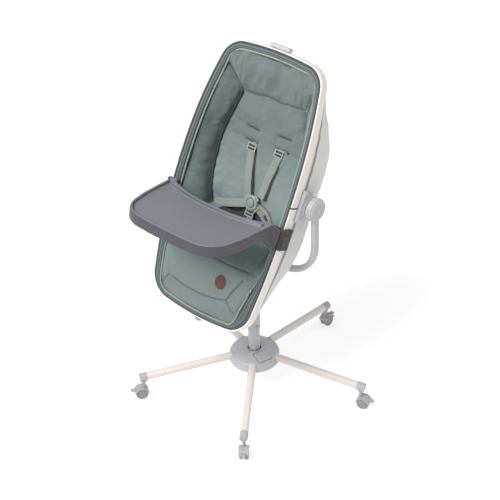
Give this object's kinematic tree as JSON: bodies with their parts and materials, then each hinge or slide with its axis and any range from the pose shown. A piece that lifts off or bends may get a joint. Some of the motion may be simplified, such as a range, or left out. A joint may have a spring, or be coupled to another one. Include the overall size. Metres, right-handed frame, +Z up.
{
  "type": "baby high chair",
  "caption": "Baby high chair: a padded bassinet-shaped seat in a rounded frame, with harness and tray, hung in a U yoke on a telescopic column and a five-leg castor base.",
  "frame": {"origin": "on the floor under the middle of the whole chair", "axes": "+Z up; the child faces -Y; +X is the child's left"},
  "size_m": [0.774, 0.7757, 1.1414],
  "materials": {
    "white_plastic": "pale grey moulded plastic",
    "cream_paint": "cream paint, satin",
    "charcoal_plastic": "charcoal moulded plastic",
    "tray_plastic": "dark grey moulded plastic, fine texture",
    "wheel_rubber": "dark grey rubber",
    "sage_fabric": "sage woven fabric, padded and quilted",
    "pale_fabric": "pale sage woven fabric",
    "webbing": "flat woven webbing",
    "buckle_plastic": "grey green moulded plastic",
    "leather": "brown leather",
    "board": "plastic stiffening board",
    "steel": "plain steel"
  },
  "bodies": {
    "base": {"base_plate": "white_plastic", "hub_cover": "white_plastic", "sway_bearing": "steel", "leg_1": "cream_paint", "leg_2": "cream_paint", "leg_3": "cream_paint", "leg_4": "cream_paint", "leg_5": "cream_paint", "leg_cap_1": "white_plastic", "leg_cap_2": "white_plastic", "leg_cap_3": "white_plastic", "leg_cap_4": "white_plastic", "leg_cap_5": "white_plastic"},
    "pedal": {"foot_pedal": "white_plastic"},
    "column": {"column_tube": "white_plastic"},
    "carriage": {"column_sleeve": "white_plastic", "yoke": "white_plastic", "pivot_cap_left": "white_plastic", "pivot_cap_right": "white_plastic"},
    "height_button": {"height_button": "charcoal_plastic"},
    "seat": {"pivot_bracket_left": "charcoal_plastic", "pivot_bracket_right": "charcoal_plastic", "rim_frame_upper": "cream_paint", "rim_frame_lower": "cream_paint", "seat_tub": "pale_fabric", "seat_liner": "sage_fabric", "foot_panel": "sage_fabric", "leather_patch": "leather", "back_board": "board", "shoulder_strap_left": "webbing", "shoulder_strap_right": "webbing", "strap_adjuster_left": "buckle_plastic", "strap_adjuster_right": "buckle_plastic", "lap_strap_left": "webbing", "lap_strap_right": "webbing", "crotch_strap": "webbing", "crotch_adjuster": "buckle_plastic", "buckle_body": "buckle_plastic"},
    "recline_handle": {"recline_handle": "white_plastic"},
    "buckle_button": {"buckle_button": "buckle_plastic"},
    "tray": {"tray": "tray_plastic", "tray_clamp_left": "charcoal_plastic", "tray_clamp_right": "charcoal_plastic"},
    "tray_release_left": {"tray_release_left": "charcoal_plastic"},
    "tray_release_right": {"tray_release_right": "charcoal_plastic"},
    "caster_1": {"caster_fork_1": "white_plastic"},
    "wheels_1": {"caster_wheels_1": "wheel_rubber"},
    "brake_1": {"brake_lever_1": "white_plastic"},
    "caster_2": {"caster_fork_2": "white_plastic"},
    "wheels_2": {"caster_wheels_2": "wheel_rubber"},
    "brake_2": {"brake_lever_2": "white_plastic"},
    "caster_3": {"caster_fork_3": "white_plastic"},
    "wheels_3": {"caster_wheels_3": "wheel_rubber"},
    "brake_3": {"brake_lever_3": "white_plastic"},
    "caster_4": {"caster_fork_4": "white_plastic"},
    "wheels_4": {"caster_wheels_4": "wheel_rubber"},
    "brake_4": {"brake_lever_4": "white_plastic"},
    "caster_5": {"caster_fork_5": "white_plastic"},
    "wheels_5": {"caster_wheels_5": "wheel_rubber"},
    "brake_5": {"brake_lever_5": "white_plastic"}
  },
  "joints": [
    {"name": "sway", "type": "hinge", "parent": "base", "child": "column", "pos_m": [0, -0.0171, 0], "axis": [0, 0, 1], "range_deg": [-20, 20], "stiffness_Nm_per_rad": 6},
    {"name": "height", "type": "slide", "parent": "column", "child": "carriage", "axis": [0, 0, 1], "range_m": [-0.07, 0.1]},
    {"name": "recline", "type": "hinge", "parent": "carriage", "child": "seat", "pos_m": [0, -0.0171, 0.758], "axis": [1, 0, 0], "range_deg": [-61.6, 0]},
    {"name": "tray_lift", "type": "slide", "parent": "seat", "child": "tray", "axis": [0, -0.9022, 0.4312], "range_m": [0, 0.05]},
    {"name": "pedal_press", "type": "hinge", "parent": "base", "child": "pedal", "pos_m": [0.03234, -0.02761, 0.11], "axis": [0.309, 0.9511, 0], "range_deg": [0, 5], "stiffness_Nm_per_rad": 20, "springref_deg": -2.86},
    {"name": "height_button_press", "type": "slide", "parent": "carriage", "child": "height_button", "axis": [-0.9511, 0.309, 0], "range_m": [0, 0.0015], "stiffness_N_per_m": 1500, "springref_m": -0.0005},
    {"name": "recline_pull", "type": "slide", "parent": "seat", "child": "recline_handle", "axis": [0, 0.5421, 0.8403], "range_m": [0, 0.005], "stiffness_N_per_m": 1200, "springref_m": -0.001},
    {"name": "buckle_press", "type": "slide", "parent": "seat", "child": "buckle_button", "axis": [0, 0.9022, -0.4312], "range_m": [0, 0.003], "stiffness_N_per_m": 1200, "springref_m": -0.0005},
    {"name": "tray_release_press_left", "type": "slide", "parent": "tray", "child": "tray_release_left", "axis": [-1, 0, 0], "range_m": [0, 0.0025], "stiffness_N_per_m": 1200, "springref_m": -0.0005},
    {"name": "tray_release_press_right", "type": "slide", "parent": "tray", "child": "tray_release_right", "axis": [1, 0, 0], "range_m": [0, 0.0025], "stiffness_N_per_m": 1200, "springref_m": -0.0005},
    {"name": "swivel_1", "type": "hinge", "parent": "base", "child": "caster_1", "pos_m": [0.21278, -0.30996, 0.06], "axis": [0, 0, 1], "continuous": true},
    {"name": "wheel_spin_1", "type": "hinge", "parent": "caster_1", "child": "wheels_1", "pos_m": [0.21807, -0.31724, 0.0195], "axis": [0.809, 0.5878, 0], "continuous": true},
    {"name": "brake_press_1", "type": "hinge", "parent": "caster_1", "child": "brake_1", "pos_m": [0.23306, -0.33787, 0.032], "axis": [0.809, 0.5878, 0], "range_deg": [0, 18]},
    {"name": "swivel_2", "type": "hinge", "parent": "base", "child": "caster_2", "pos_m": [0.34428, 0.09476, 0.06], "axis": [0, 0, 1], "continuous": true},
    {"name": "wheel_spin_2", "type": "hinge", "parent": "caster_2", "child": "wheels_2", "pos_m": [0.35284, 0.09755, 0.0195], "axis": [-0.309, 0.9511, 0], "continuous": true},
    {"name": "brake_press_2", "type": "hinge", "parent": "caster_2", "child": "brake_2", "pos_m": [0.37709, 0.10543, 0.032], "axis": [-0.309, 0.9511, 0], "range_deg": [0, 18]},
    {"name": "swivel_3", "type": "hinge", "parent": "base", "child": "caster_3", "pos_m": [0, 0.3449, 0.06], "axis": [0, 0, 1], "continuous": true},
    {"name": "wheel_spin_3", "type": "hinge", "parent": "caster_3", "child": "wheels_3", "pos_m": [0, 0.3539, 0.0195], "axis": [-1, 0, 0], "continuous": true},
    {"name": "brake_press_3", "type": "hinge", "parent": "caster_3", "child": "brake_3", "pos_m": [0, 0.3794, 0.032], "axis": [-1, 0, 0], "range_deg": [0, 18]},
    {"name": "swivel_4", "type": "hinge", "parent": "base", "child": "caster_4", "pos_m": [-0.34428, 0.09476, 0.06], "axis": [0, 0, 1], "continuous": true},
    {"name": "wheel_spin_4", "type": "hinge", "parent": "caster_4", "child": "wheels_4", "pos_m": [-0.35284, 0.09755, 0.0195], "axis": [-0.309, -0.9511, 0], "continuous": true},
    {"name": "brake_press_4", "type": "hinge", "parent": "caster_4", "child": "brake_4", "pos_m": [-0.37709, 0.10543, 0.032], "axis": [-0.309, -0.9511, 0], "range_deg": [0, 18]},
    {"name": "swivel_5", "type": "hinge", "parent": "base", "child": "caster_5", "pos_m": [-0.21278, -0.30996, 0.06], "axis": [0, 0, 1], "continuous": true},
    {"name": "wheel_spin_5", "type": "hinge", "parent": "caster_5", "child": "wheels_5", "pos_m": [-0.21807, -0.31724, 0.0195], "axis": [0.809, -0.5878, 0], "continuous": true},
    {"name": "brake_press_5", "type": "hinge", "parent": "caster_5", "child": "brake_5", "pos_m": [-0.23306, -0.33787, 0.032], "axis": [0.809, -0.5878, 0], "range_deg": [0, 18]}
  ]
}
